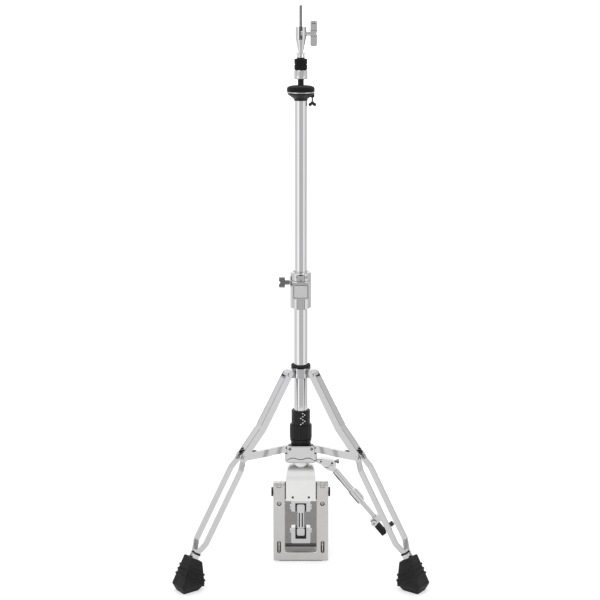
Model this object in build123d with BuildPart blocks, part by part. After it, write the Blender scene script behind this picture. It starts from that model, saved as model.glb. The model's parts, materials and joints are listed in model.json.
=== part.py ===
"""Two-legged hi-hat stand with a direct-drive pedal.

Frame: the origin is on the floor under the tube axis. +Z runs up the tube, -Y points to the side the legs
stand on and +Y points to the player's heel. Lengths are millimetres.
"""
import os
from math import atan2, cos, degrees, radians, sin

from build123d import *

# ---- tubes and rods -------------------------------------------------------------------------------------
LOWER_R, LOWER_BORE_R = 14.3, 13.0       # 1 1/8 inch lower tube
UPPER_R, UPPER_BORE_R = 12.7, 11.2       # 1 inch upper tube
LOWER_Z = (193.0, 575.0)
UPPER_Z = (470.0, 955.0)
ROD_R, PULL_R = 3.0, 4.0                 # cymbal rod and the heavier pull rod below it
ROD_Z = (352.0, 1129.0)
ROD_MARK_R, ROD_MARK_Z = 2.7, (1090.0, 1091.0)  # groove that marks off the free tip above the clutch
PULL_Z = (128.0, 352.0)
RUN = 0.06                               # radial running clearance
GAP = 0.3                                # clearance between pieces that only pass each other

# ---- stand legs -----------------------------------------------------------------------------------------
LEG_AZIMUTH = {"left": 216.6, "right": 323.4}   # directions of the legs in plan, from +X
LEG_TOP = (33.0, 401.0)                  # radius and height of the leg's pivot on the sliding hub
LEG_BEND = (99.5, 299.8)                 # where the upper channel bends
LEG_JOINT = (147.0, 249.0)               # pivot of leg and brace
LEG_END = (271.0, 53.3)                  # end of the two bars inside the foot
BRACE_PIVOT = (34.0, 244.0)              # brace pivot on the lower hub
CHANNEL_HALF, CHANNEL_WALL, CHANNEL_DEPTH = 8.5, 2.0, 16.0
BAR_THICK, BAR_DEPTH, BAR_BOW = 3.0, 12.5, 17.0

# ---- hubs and tension housing ---------------------------------------------------------------------------
UPPER_HUB_Z = (392.0, 411.5)
LOWER_HUB_Z = (226.0, 250.0)
CLAMP_Z = 213.0
HOUSING_R, HOUSING_Z = 19.0, (290.5, 320.5)
KNOB_R, KNOB_Z = 22.6, (260.5, 290.0)

# ---- pedal ----------------------------------------------------------------------------------------------
FRAME_HALF, WINDOW_HALF = 56.5, 32.3     # the U frame's outer and inner half widths
FRAME_Y = (-30.0, -10.0)
FRAME_Z = (2.5, 173.0)
HINGE = (-20.0, 150.0)                   # fold hinge of the pedal, Y and Z
NECK_HALF = 30.5
HEEL = (262.0, 17.0)                     # heel hinge, Y and Z
TOE_PIN_Z, ROD_PIN_Z = 55.0, 108.0       # lower and upper pins of the drive link
BOARD_HALF = 45.0

# ---- cymbal seat and clutch -----------------------------------------------------------------------------
SEAT_Z = 962.0
CLUTCH_Z = 988.8

os.makedirs("parts", exist_ok=True)


def save(builder, name):
    builder.part.label = name
    export_step(builder.part, f"parts/{name}.step")


def turned(points):
    """A ring turned from an outline of (radius, height) points."""
    with BuildPart() as piece:
        with BuildSketch(Plane.XZ):
            with BuildLine():
                Polyline(*points, close=True)
            make_face()
        revolve(axis=Axis.Z)
    return piece


def ring(outer, inner, low, high):
    return turned([(inner, low), (outer, low), (outer, high), (inner, high)])


def radial_plane(azimuth, offset=0.0):
    """Upright plane through the tube axis: x is the radius and y the height, offset sideways."""
    a = radians(azimuth)
    return Plane(origin=(0, 0, 0), x_dir=(cos(a), sin(a), 0), z_dir=(sin(a), -cos(a), 0)).offset(offset)


def radial_point(azimuth, radius, height):
    a = radians(azimuth)
    return Vector(radius * cos(a), radius * sin(a), height)


# ---- column ---------------------------------------------------------------------------------------------
with BuildPart() as lower_tube:
    with BuildSketch(Plane.XY.offset(LOWER_Z[0])):
        Circle(LOWER_R)
        Circle(LOWER_BORE_R, mode=Mode.SUBTRACT)
    extrude(amount=LOWER_Z[1] - LOWER_Z[0])
    with BuildSketch(Plane.YZ):
        with Locations((0, 274)):
            SlotCenterToCenter(16, 5.8, rotation=90)
    extrude(amount=20, both=True, mode=Mode.SUBTRACT)
save(lower_tube, "lower_tube")

save(turned([(UPPER_BORE_R, UPPER_Z[0] - 8), (LOWER_BORE_R - RUN, UPPER_Z[0] - 8), (LOWER_BORE_R - RUN, UPPER_Z[0]),
             (UPPER_R, UPPER_Z[0]), (UPPER_R, UPPER_Z[1]), (UPPER_BORE_R, UPPER_Z[1])]), "upper_tube")

COLLAR_R, COLLAR_Z = 22.0, (535.0, 592.5)
WING_Z = 586.0
with BuildPart() as height_collar:
    with BuildSketch(Plane.XY.offset(COLLAR_Z[0])):
        Circle(COLLAR_R)
        with Locations((0, -COLLAR_R + 2)):
            Rectangle(16, 8)
    extrude(amount=COLLAR_Z[1] - COLLAR_Z[0])
    with BuildSketch(Plane.XZ.offset(COLLAR_R)):
        with Locations((0, 572.5)):
            RectangleRounded(33, 31, 4)
    extrude(amount=-12)
    with BuildSketch(Plane.XZ.offset(COLLAR_R)):
        with Locations((0, 572.5)):
            RectangleRounded(33, 31, 4)
    extrude(amount=3.2)
    chamfer(height_collar.faces().filter_by(Axis.Z).edges().filter_by(GeomType.CIRCLE), 1.2)
    with BuildSketch(Plane.XY.offset(COLLAR_Z[0])):
        Circle(LOWER_R)
    extrude(amount=LOWER_Z[1] - COLLAR_Z[0], mode=Mode.SUBTRACT)
    with BuildSketch(Plane.XY.offset(LOWER_Z[1])):
        Circle(15.6)
    extrude(amount=COLLAR_Z[1] - LOWER_Z[1], mode=Mode.SUBTRACT)
    with BuildSketch(Plane.XY.offset(COLLAR_Z[0])):
        with Locations((0, 18)):
            Rectangle(2.4, 10)
    extrude(amount=COLLAR_Z[1] - COLLAR_Z[0], mode=Mode.SUBTRACT)
    with BuildSketch(Plane.YZ.offset(-COLLAR_R)):
        with Locations((0, WING_Z)):
            Circle(6.0)
    extrude(amount=4)
    with BuildSketch(Plane.YZ.offset(-COLLAR_R - 1)):
        with Locations((0, WING_Z)):
            Circle(3.1)
    extrude(amount=7, mode=Mode.SUBTRACT)
save(height_collar, "height_collar")

with BuildPart() as column_bushings:
    add(ring(15.6, UPPER_R + RUN, LOWER_Z[1] + GAP, COLLAR_Z[1] - 1).part)
    add(ring(6.5, PULL_R + RUN, 183.0, LOWER_Z[0] - GAP).part)
save(column_bushings, "column_bushings")


with BuildPart() as collar_wing_bolt:
    with BuildSketch(Plane.YZ.offset(-32.3)):
        with Locations((0, WING_Z)):
            Circle(5.0)
    extrude(amount=10)
    with BuildSketch(Plane.YZ.offset(-22.3)):
        with Locations((0, WING_Z)):
            Circle(3.0)
    extrude(amount=5.5)
    with BuildSketch(Plane.YZ.offset(-44.0)):
        with Locations((0, WING_Z)):
            SlotCenterToCenter(12, 10, rotation=90)
    extrude(amount=12.5)
    fillet(collar_wing_bolt.faces().sort_by(Axis.X)[0].edges(), 2)
    with BuildSketch(Plane.XZ.offset(7)):
        with Locations((-44.0, WING_Z)):
            Circle(3.0)
    extrude(amount=-14, mode=Mode.SUBTRACT)
save(collar_wing_bolt, "collar_wing_bolt")

LOCK_Z = (593.0, 608.5)
with BuildPart() as memory_lock:
    with BuildSketch(Plane.XY.offset(LOCK_Z[0])):
        Circle(COLLAR_R)
        with Locations((0, -COLLAR_R + 1)):
            Rectangle(16, 9)
    extrude(amount=LOCK_Z[1] - LOCK_Z[0])
    chamfer(memory_lock.faces().sort_by(Axis.Z)[-1].edges(), 1.5)
    with BuildSketch(Plane.XY.offset(LOCK_Z[0])):
        Circle(UPPER_R + RUN)
    extrude(amount=LOCK_Z[1] - LOCK_Z[0], mode=Mode.SUBTRACT)
    with BuildSketch(Plane.XY.offset(LOCK_Z[1] - 5)):
        Circle(UPPER_R + RUN)
    with BuildSketch(Plane.XY.offset(LOCK_Z[1])):
        Circle(17.5)
    loft(mode=Mode.SUBTRACT)
    with BuildSketch(Plane.XY.offset(LOCK_Z[0])):
        with Locations((0, -19)):
            Rectangle(2.0, 18)
    extrude(amount=LOCK_Z[1] - LOCK_Z[0], mode=Mode.SUBTRACT)
    with BuildSketch(Plane.YZ.offset(-10)):
        with Locations((-21.3, 601.0)):
            Circle(2.2)
    extrude(amount=18)
    with BuildSketch(Plane.YZ.offset(8)):
        with Locations((-21.3, 601.0)):
            Rectangle(5.5, 5.5)
    extrude(amount=6)
save(memory_lock, "memory_lock")

# ---- tension housing and spring -------------------------------------------------------------------------
with BuildPart() as spring_housing:
    with BuildSketch(Plane.XY.offset(HOUSING_Z[0])):
        Circle(HOUSING_R)
        Circle(LOWER_R, mode=Mode.SUBTRACT)
    extrude(amount=HOUSING_Z[1] - HOUSING_Z[0])
    chamfer(spring_housing.faces().sort_by(Axis.Z)[-1].edges().sort_by(SortBy.LENGTH)[-1], 1.5)
    with BuildSketch(Plane.XZ):
        with BuildLine():
            Polyline((LOWER_R, 250.5), (19.5, 250.5), (22.0, 256.5), (22.0, 260.0), (LOWER_R, 260.0), close=True)
        make_face()
    revolve(axis=Axis.Z)
save(spring_housing, "spring_housing")

with BuildPart() as tension_knob:
    with BuildSketch(Plane.XZ):
        with BuildLine():
            Polyline((LOWER_R + GAP, KNOB_Z[0]), (KNOB_R - 1.5, KNOB_Z[0]), (KNOB_R, KNOB_Z[0] + 1.5),
                     (KNOB_R, KNOB_Z[1] - 2), (KNOB_R - 2, KNOB_Z[1]), (LOWER_R + GAP, KNOB_Z[1]),
                     (LOWER_R + GAP, 286), (18.5, 286), (18.5, 264), (LOWER_R + GAP, 264), close=True)
        make_face()
    revolve(axis=Axis.Z)
    with BuildSketch(Plane.XY.offset(KNOB_Z[0])):
        with PolarLocations(KNOB_R + 0.6, 20):
            Circle(1.6)
    extrude(amount=KNOB_Z[1] - KNOB_Z[0], mode=Mode.SUBTRACT)
save(tension_knob, "tension_knob")

with BuildPart() as spring_seat:
    with BuildSketch(Plane.XY.offset(268)):
        Circle(LOWER_BORE_R - GAP)
        Circle(PULL_R + 0.6, mode=Mode.SUBTRACT)
    extrude(amount=11)
    with BuildSketch(Plane.YZ.offset(6)):
        with Locations((0, 273.5)):
            Circle(2.5)
    extrude(amount=11.2)
    mirror(about=Plane.YZ)
save(spring_seat, "spring_seat")

SPRING_Z = (279.0, 330.0)
with BuildPart() as return_spring:
    with BuildLine() as coil:
        Helix(pitch=(SPRING_Z[1] - SPRING_Z[0] - 3.0) / 8, height=SPRING_Z[1] - SPRING_Z[0] - 3.0, radius=7.9,
              center=(0, 0, SPRING_Z[0] + 1.5))
    with BuildSketch(Plane(coil.line @ 0, z_dir=coil.line % 0)):
        Circle(1.3)
    sweep(path=coil.line)
save(return_spring, "return_spring")

# ---- rods -----------------------------------------------------------------------------------------------
with BuildPart() as cymbal_rod:
    with BuildSketch(Plane.XY.offset(ROD_Z[0])):
        Circle(ROD_R)
    extrude(amount=ROD_Z[1] - ROD_Z[0])
    chamfer(cymbal_rod.faces().sort_by(Axis.Z)[-1].edges(), 1.2)
    add(ring(ROD_R + 1, ROD_MARK_R, *ROD_MARK_Z).part, mode=Mode.SUBTRACT)
save(cymbal_rod, "cymbal_rod")

with BuildPart() as pull_rod:
    with BuildSketch(Plane.XY.offset(PULL_Z[0])):
        Circle(PULL_R)
    extrude(amount=PULL_Z[1] - PULL_Z[0])
save(pull_rod, "pull_rod")

with BuildPart() as rod_coupling:
    with BuildSketch(Plane.XY.offset(340)):
        RegularPolygon(6.5, 6)
    extrude(amount=24)
    with BuildSketch(Plane.XY.offset(340)):
        Circle(PULL_R)
    extrude(amount=12, mode=Mode.SUBTRACT)
    with BuildSketch(Plane.XY.offset(352)):
        Circle(ROD_R)
    extrude(amount=12, mode=Mode.SUBTRACT)
    with BuildSketch(Plane.XZ):
        with BuildLine():
            Polyline((PULL_R, 330.2), (9.4, 330.2), (9.4, 333), (6.5, 333), (6.5, 339.5), (PULL_R, 339.5), close=True)
        make_face()
    revolve(axis=Axis.Z)
save(rod_coupling, "rod_coupling")

# ---- upper hub ------------------------------------------------------------------------------------------
HUB_BORE_R = 17.2
with BuildPart() as upper_hub:
    with BuildSketch(Plane.XY.offset(UPPER_HUB_Z[0])):
        Circle(20.8)
        with Locations((0, -19.5)):
            Rectangle(14, 6)
    extrude(amount=UPPER_HUB_Z[1] - UPPER_HUB_Z[0])
    for azimuth in LEG_AZIMUTH.values():
        with BuildSketch(radial_plane(azimuth)):
            with BuildLine():
                Polyline((18, UPPER_HUB_Z[0]), (30, UPPER_HUB_Z[0]), LEG_TOP, (33, UPPER_HUB_Z[1] - 2),
                         (18, UPPER_HUB_Z[1]), close=True)
            make_face()
            with Locations(LEG_TOP):
                Circle(7.6)
        extrude(amount=CHANNEL_HALF - CHANNEL_WALL - GAP, both=True)
    with BuildSketch(Plane.XY.offset(UPPER_HUB_Z[0] - 3)):
        Circle(HUB_BORE_R)
    extrude(amount=25, mode=Mode.SUBTRACT)
    for azimuth in LEG_AZIMUTH.values():
        with BuildSketch(radial_plane(azimuth)):
            with Locations(LEG_TOP):
                Circle(3.0 + RUN)
        extrude(amount=10, both=True, mode=Mode.SUBTRACT)
    fillet(upper_hub.faces().filter_by(Plane.XZ).sort_by(Axis.Y)[0].edges().filter_by(Axis.Z), 2)
save(upper_hub, "upper_hub")

save(turned([(LOWER_R + RUN, 391.0), (HUB_BORE_R, 391.0), (HUB_BORE_R, 411.8), (19.2, 411.8), (19.2, 414.0),
             (LOWER_R + RUN, 414.0)]), "hub_bushing")

# ---- lower hub ------------------------------------------------------------------------------------------
HUB_LUG = (24.0, -18.0)
HUB_LUG_R = 9.0


def hub_outline(inset=0.0):
    Circle(22.0 - inset)
    with Locations((HUB_LUG[0], HUB_LUG[1]), (-HUB_LUG[0], HUB_LUG[1])):
        Circle(HUB_LUG_R - inset)
    make_hull()


def wave(z_shift):
    """The wavy parting line across the hub, drawn left to right with its ends run out past the hub."""
    return [(-60, 219.0 + z_shift), (-30, 219.5 + z_shift), (-16, 225.0 + z_shift), (0, 221.5 + z_shift),
            (14, 225.0 + z_shift), (28, 219.5 + z_shift), (60, 219.0 + z_shift)]


with BuildPart() as lower_hub:
    with BuildSketch(Plane.XY.offset(CLAMP_Z)):
        hub_outline()
    extrude(amount=LOWER_HUB_Z[1] - CLAMP_Z)
    fillet(lower_hub.faces().sort_by(Axis.Z)[-1].edges(), 2)
    with BuildSketch(Plane.XY.offset(CLAMP_Z)):
        Circle(LOWER_R + RUN)
    extrude(amount=60, mode=Mode.SUBTRACT)
    with BuildSketch(Plane.XZ.offset(-60)):
        with BuildLine():
            Spline(*wave(0.8))
            Polyline((60, 219.8), (60, 200), (-60, 200), (-60, 219.8))
        make_face()
    extrude(amount=120, mode=Mode.SUBTRACT)
    for azimuth in LEG_AZIMUTH.values():
        with BuildSketch(radial_plane(azimuth)):
            with Locations((BRACE_PIVOT[0] + 12, 245)):
                Rectangle(40, 24)
        extrude(amount=4.4, both=True, mode=Mode.SUBTRACT)
        with BuildSketch(radial_plane(azimuth)):
            with Locations(BRACE_PIVOT):
                Circle(2.5)
        extrude(amount=30, both=True, mode=Mode.SUBTRACT)
save(lower_hub, "lower_hub")

with BuildPart() as hub_clamp:
    with BuildSketch(Plane.XY.offset(CLAMP_Z)):
        hub_outline()
    extrude(amount=LOWER_HUB_Z[1] - CLAMP_Z)
    fillet(hub_clamp.faces().sort_by(Axis.Z)[0].edges(), 5)
    with BuildSketch(Plane.XY.offset(CLAMP_Z)):
        Circle(LOWER_R + RUN)
    extrude(amount=60, mode=Mode.SUBTRACT)
    with BuildSketch(Plane.XZ.offset(-60)):
        with BuildLine():
            Spline(*wave(-0.8))
            Polyline((60, 218.2), (60, 260), (-60, 260), (-60, 218.2))
        make_face()
    extrude(amount=120, mode=Mode.SUBTRACT)
save(hub_clamp, "hub_clamp")

with BuildPart() as brace_pivot_bolts:
    for azimuth in LEG_AZIMUTH.values():
        inner = -1 if azimuth > 270 else 1
        with BuildSketch(radial_plane(azimuth)):
            with Locations(BRACE_PIVOT):
                Circle(2.5)
        extrude(amount=10.5, both=True)
        with BuildSketch(radial_plane(azimuth, inner * 10.5)):
            with Locations(BRACE_PIVOT):
                Circle(4.2)
                RegularPolygon(2.2, 6, mode=Mode.SUBTRACT)
        extrude(amount=inner * 2.4)
save(brace_pivot_bolts, "brace_pivot_bolts")

# ---- legs -----------------------------------------------------------------------------------------------


def line_plane(azimuth, start, end):
    """Plane holding a leg's line: x runs down the line and y runs sideways, from the start point."""
    a = radians(azimuth)
    length = ((end[0] - start[0]) ** 2 + (end[1] - start[1]) ** 2) ** 0.5
    down = ((end[0] - start[0]) / length, (end[1] - start[1]) / length)
    along = Vector(down[0] * cos(a), down[0] * sin(a), down[1])
    normal = Vector(-down[1] * cos(a), -down[1] * sin(a), down[0])
    return Plane(origin=radial_point(azimuth, *start), x_dir=along, z_dir=normal)


def bar_path(side):
    """Centre line of one bar: it leaves the channel's side, bows out, and closes in on the foot."""
    return [(-6, side * 10.2), (8, side * 10.2), (26, side * BAR_BOW), (184, side * BAR_BOW),
            (205, side * 6.6), (231, side * 6.6)]


def leg_channel(azimuth):
    """Folded channel from the sliding hub to the brace joint, open towards the tube."""
    half = CHANNEL_DEPTH / 2
    with BuildPart() as channel:
        with BuildSketch(radial_plane(azimuth)):
            with BuildLine() as centre:
                Polyline(LEG_TOP, LEG_BEND, LEG_JOINT)
            trace(centre.line, CHANNEL_DEPTH)
            with Locations(LEG_TOP, LEG_BEND, LEG_JOINT):
                Circle(half)
        extrude(amount=CHANNEL_HALF, both=True)
        with BuildSketch(radial_plane(azimuth)):
            with BuildLine() as inside:
                Polyline((LEG_TOP[0] - 1.2, LEG_TOP[1] + 12), (LEG_TOP[0] - 2.2, LEG_TOP[1] - 1.6),
                         (LEG_BEND[0] - 2.2, LEG_BEND[1] - 1.8), (LEG_JOINT[0] - 4, LEG_JOINT[1]))
            trace(inside.line, CHANNEL_DEPTH)
            with Locations((LEG_TOP[0], LEG_TOP[1])):
                Circle(14)
            with Locations(LEG_JOINT):
                Circle(19)
        extrude(amount=CHANNEL_HALF - CHANNEL_WALL, both=True, mode=Mode.SUBTRACT)
        with BuildSketch(radial_plane(azimuth)):
            with Locations(LEG_TOP):
                Circle(3.0)
        extrude(amount=CHANNEL_HALF, both=True)
        for side in (-1, 1):
            with BuildSketch(radial_plane(azimuth, side * CHANNEL_HALF)):
                with Locations(LEG_TOP):
                    Circle(4.8)
            extrude(amount=side * 2)
            with BuildSketch(radial_plane(azimuth, side * CHANNEL_HALF)):
                with Locations(LEG_JOINT):
                    Circle(3.0)
            extrude(amount=side * (BAR_THICK + 0.4))
            with BuildSketch(radial_plane(azimuth, side * (CHANNEL_HALF + BAR_THICK + 0.25))):
                with Locations(LEG_JOINT):
                    Circle(4.6)
            extrude(amount=side * 1.8)
    return channel


def leg_bars(azimuth):
    """The two flat bars of the lower leg, as two separate solids."""
    plane = line_plane(azimuth, LEG_JOINT, LEG_END)
    with BuildPart() as bars:
        for side in (-1, 1):
            with BuildSketch(plane):
                with BuildLine() as path:
                    FilletPolyline(*bar_path(side), radius=9)
                trace(path.line, BAR_THICK)
            extrude(amount=BAR_DEPTH / 2, both=True)
        with BuildSketch(radial_plane(azimuth)):
            with Locations(LEG_JOINT):
                Circle(3.0)
        extrude(amount=20, both=True, mode=Mode.SUBTRACT)
    return bars


def brace(azimuth):
    """Brace: a tongue at the hub and a fork of two plates that reaches into the leg channel."""
    angle = degrees(atan2(LEG_JOINT[1] - BRACE_PIVOT[1], LEG_JOINT[0] - BRACE_PIVOT[0]))
    length = ((LEG_JOINT[0] - BRACE_PIVOT[0]) ** 2 + (LEG_JOINT[1] - BRACE_PIVOT[1]) ** 2) ** 0.5
    c, s = cos(radians(angle)), sin(radians(angle))

    def at(distance):
        return (BRACE_PIVOT[0] + distance * c, BRACE_PIVOT[1] + distance * s)

    with BuildPart() as arm:
        with BuildSketch(radial_plane(azimuth)):
            with Locations(at(27)):
                SlotCenterToCenter(54, 15, rotation=angle)
        extrude(amount=4.0, both=True)
        with BuildSketch(radial_plane(azimuth)):
            with Locations(at((45 + length) / 2)):
                SlotCenterToCenter(length - 45, 15, rotation=angle)
        extrude(amount=6.2, both=True)
        with BuildSketch(radial_plane(azimuth)):
            with Locations(at((78 + length + 12) / 2)):
                Rectangle(length + 12 - 78, 20, rotation=angle)
        extrude(amount=4.2, both=True, mode=Mode.SUBTRACT)
        with BuildSketch(radial_plane(azimuth)):
            with Locations(LEG_JOINT):
                Circle(3.0)
        extrude(amount=6.2, both=True)
        with BuildSketch(radial_plane(azimuth)):
            with Locations(BRACE_PIVOT):
                Circle(2.5 + RUN)
        extrude(amount=10, both=True, mode=Mode.SUBTRACT)
    return arm


FOOT_PROFILE = [(262, 0), (297, 0), (303, 15), (277, 71.5), (252, 56.5), (251, 12)]
FOOT_OUTLINE = [(-15, 0), (15, 0), (21, 13), (14.5, 66), (14.5, 80), (-14.5, 80), (-14.5, 66), (-21, 13)]


def foot(azimuth):
    """Rubber boot: cut square to the leg at its top, widest just above the floor."""
    a = radians(azimuth)
    with BuildPart() as boot:
        with BuildSketch(radial_plane(azimuth)):
            with BuildLine():
                Polyline(*FOOT_PROFILE, close=True)
            make_face()
        extrude(amount=30, both=True)
        with BuildSketch(Plane(origin=(0, 0, 0), x_dir=(-sin(a), cos(a), 0), z_dir=(cos(a), sin(a), 0))):
            with BuildLine():
                Polyline(*FOOT_OUTLINE, close=True)
            make_face()
        extrude(amount=320, mode=Mode.INTERSECT)
        fillet(boot.edges().filter_by(lambda edge: edge.center().Z > 1), 3)
        with BuildSketch(line_plane(azimuth, LEG_JOINT, LEG_END)):
            with Locations((220, 0)):
                Rectangle(26, 16.6)
        extrude(amount=BAR_DEPTH / 2 + 0.1, both=True, mode=Mode.SUBTRACT)
    return boot


for leg_side, leg_azimuth in LEG_AZIMUTH.items():
    save(leg_channel(leg_azimuth), f"{leg_side}_leg_channel")
    save(leg_bars(leg_azimuth), f"{leg_side}_leg_bars")
    save(brace(leg_azimuth), f"{leg_side}_brace")
    save(foot(leg_azimuth), f"{leg_side}_foot")

# ---- neck -----------------------------------------------------------------------------------------------
NECK_TOP = 203.7
with BuildPart() as neck:
    with BuildSketch(Plane.YZ):
        with BuildLine():
            Line((17, NECK_TOP), (-2, NECK_TOP))
            RadiusArc((-2, NECK_TOP), (FRAME_Y[0], 175.7), -28)
            Line((FRAME_Y[0], 175.7), (FRAME_Y[0], 133))
            Line((FRAME_Y[0], 133), (-10.5, 133))
            Line((-10.5, 133), (-10.5, 170))
            RadiusArc((-10.5, 170), (1.5, 182), 12)
            Line((1.5, 182), (17, 182))
            Line((17, 182), (17, NECK_TOP))
        make_face()
    extrude(amount=NECK_HALF, both=True)
    with BuildSketch(Plane.XZ.offset(-40)):
        with BuildLine():
            Line((-24, NECK_TOP), (24, NECK_TOP))
            RadiusArc((24, NECK_TOP), (NECK_HALF, 172), 70)
            Polyline((NECK_HALF, 172), (NECK_HALF, 133), (-NECK_HALF, 133), (-NECK_HALF, 172))
            RadiusArc((-NECK_HALF, 172), (-24, NECK_TOP), 70)
        make_face()
    extrude(amount=90, mode=Mode.INTERSECT)
    with BuildSketch(Plane.XY.offset(NECK_TOP)):
        Circle(16.5)
    extrude(amount=CLAMP_Z - GAP - NECK_TOP)
    with BuildSketch(Plane.XY.offset(LOWER_Z[0])):
        Circle(LOWER_R)
    extrude(amount=30, mode=Mode.SUBTRACT)
    with BuildSketch(Plane.XY.offset(170)):
        Circle(6.5)
    extrude(amount=40, mode=Mode.SUBTRACT)
    for side in (-1, 1):
        with BuildSketch(Plane.YZ.offset(side * 15)):
            with Locations(HINGE):
                Circle(5.0 + RUN)
        extrude(amount=side * 20, mode=Mode.SUBTRACT)
    with BuildSketch(Plane.XZ.offset(-FRAME_Y[0])):
        with Locations((-16.4, 141), (16.4, 141)):
            Circle(2.3)
    extrude(amount=-8, mode=Mode.SUBTRACT)
save(neck, "neck")

# ---- pedal frame ----------------------------------------------------------------------------------------
SPUR_X, SCREW = 45.0, (44.3, 127.0)
with BuildPart() as pedal_frame:
    with BuildSketch(Plane.XZ.offset(-FRAME_Y[1])):
        with Locations((0, (FRAME_Z[0] + FRAME_Z[1]) / 2)):
            Rectangle(2 * FRAME_HALF, FRAME_Z[1] - FRAME_Z[0])
        with Locations((0, 119.5)):
            RectangleRounded(2 * WINDOW_HALF, 200, 6, mode=Mode.SUBTRACT)
    extrude(amount=FRAME_Y[1] - FRAME_Y[0])
    fillet(pedal_frame.faces().sort_by(Axis.Z)[-2:].edges().filter_by(Axis.X), 8)
    chamfer(pedal_frame.faces().sort_by(Axis.Y)[0].edges(), 1.0)
    with BuildSketch(Plane.XZ.offset(-FRAME_Y[0])):
        with Locations((-SPUR_X, 32), (SPUR_X, 32)):
            SlotCenterToCenter(19.2, 7.8, rotation=90)
    extrude(amount=-14, mode=Mode.SUBTRACT)
    with BuildSketch(Plane.XY.offset(FRAME_Z[0])):
        with Locations((-SPUR_X, -21), (SPUR_X, -21)):
            Circle(2.6)
    extrude(amount=52, mode=Mode.SUBTRACT)
    with BuildSketch(Plane.XZ.offset(-FRAME_Y[0])):
        with Locations((-SCREW[0], SCREW[1]), (SCREW[0], SCREW[1])):
            Circle(4.6)
        with Locations((-44.6, 168), (44.6, 168)):
            Rectangle(9, 12)
            Rectangle(7.4, 10.4, mode=Mode.SUBTRACT)
    extrude(amount=-6, mode=Mode.SUBTRACT)
    for side in (-1, 1):
        with BuildSketch(Plane.YZ.offset(side * 30)):
            with Locations(HINGE):
                Circle(5.0)
        extrude(amount=side * 30, mode=Mode.SUBTRACT)
save(pedal_frame, "pedal_frame")

with BuildPart() as frame_hinge_bolts:
    for side in (-1, 1):
        with BuildSketch(Plane.YZ.offset(side * 16)):
            with Locations(HINGE):
                Circle(5.0)
        extrude(amount=side * (FRAME_HALF - 16))
        with BuildSketch(Plane.YZ.offset(side * FRAME_HALF)):
            with Locations(HINGE):
                Circle(9.7)
        extrude(amount=side * 4)
        with BuildSketch(Plane.YZ.offset(side * (FRAME_HALF + 2))):
            with Locations(HINGE):
                RegularPolygon(4.5, 6)
        extrude(amount=side * 3, mode=Mode.SUBTRACT)
save(frame_hinge_bolts, "frame_hinge_bolts")

with BuildPart() as pedal_screws:
    with BuildSketch(Plane.XZ.offset(-FRAME_Y[0] - 2)):
        with Locations((-SCREW[0], SCREW[1]), (SCREW[0], SCREW[1])):
            Circle(2.6)
            RegularPolygon(1.3, 6, mode=Mode.SUBTRACT)
    extrude(amount=-4)
    with BuildSketch(Plane.XY.offset(16)):
        with Locations((-34, 305), (34, 305)):
            Circle(4.5)
            RegularPolygon(2.2, 6, mode=Mode.SUBTRACT)
    extrude(amount=2.5)
save(pedal_screws, "pedal_screws")

for spur_side, sign in (("left", -1), ("right", 1)):
    with BuildPart() as spur:
        with BuildSketch(Plane.XY.offset(6)):
            with Locations((sign * SPUR_X, -21)):
                Circle(2.3)
        extrude(amount=36)
        with BuildSketch(Plane.XY.offset(6)):
            with Locations((sign * SPUR_X, -21)):
                Circle(2.3)
        with BuildSketch(Plane.XY.offset(2.6)):
            with Locations((sign * SPUR_X, -21)):
                Circle(0.5)
        loft()
        with BuildSketch(Plane.XY.offset(33)):
            with Locations((sign * SPUR_X, -21)):
                Circle(3.2)
        extrude(amount=5)
    save(spur, f"{spur_side}_floor_spur")

BASE_Z = (2.5, 6.5)
BASE_Y = (FRAME_Y[1], 335.0)
with BuildPart() as base_plate:
    with BuildSketch(Plane.XY.offset(BASE_Z[0])):
        with Locations((0, (BASE_Y[0] + BASE_Y[1]) / 2)):
            Rectangle(94, BASE_Y[1] - BASE_Y[0])
        with Locations((0, 150)):
            RectangleRounded(52, 150, 12, mode=Mode.SUBTRACT)
    extrude(amount=BASE_Z[1] - BASE_Z[0])
    fillet(base_plate.edges().filter_by(Axis.Z).sort_by(Axis.Y)[-2:], 10)
    with BuildSketch(Plane.XZ.offset(-BASE_Y[0])):
        with Locations((0, 13.5)):
            Rectangle(2 * WINDOW_HALF + 8, 22)
    extrude(amount=-0.9)
save(base_plate, "base_plate")

with BuildPart() as rubber_pads:
    with BuildSketch(Plane.XY):
        with Locations((0, 152.5)):
            RectangleRounded(98, 357, 8)
        with Locations((-SPUR_X, -21), (SPUR_X, -21)):
            Circle(3.2, mode=Mode.SUBTRACT)
    extrude(amount=BASE_Z[0])
    with BuildSketch(Plane.XY.offset(BASE_Z[1])):
        with Locations((-32, 18), (32, 18)):
            Circle(7)
    extrude(amount=2.5)
save(rubber_pads, "rubber_pads")

with BuildPart() as heel_plate:
    with BuildSketch(Plane.YZ):
        with BuildLine():
            Polyline((HEEL[0] - 1, BASE_Z[1]), (BASE_Y[1] - 2, BASE_Z[1]), (BASE_Y[1] - 2, 11),
                     (BASE_Y[1] - 14, 16), (HEEL[0] + 7, 16), (HEEL[0], HEEL[1]), close=True)
        make_face()
        with Locations(HEEL):
            Circle(7)
    extrude(amount=BOARD_HALF, both=True)
    with BuildSketch(Plane.YZ):
        with Locations((HEEL[0] - 1.5, HEEL[1])):
            Rectangle(20, 30)
    extrude(amount=29.5, both=True, mode=Mode.SUBTRACT)
    with BuildSketch(Plane.YZ):
        with Locations(HEEL):
            Circle(3.0)
    extrude(amount=BOARD_HALF + 1, both=True)
save(heel_plate, "heel_plate")

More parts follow.
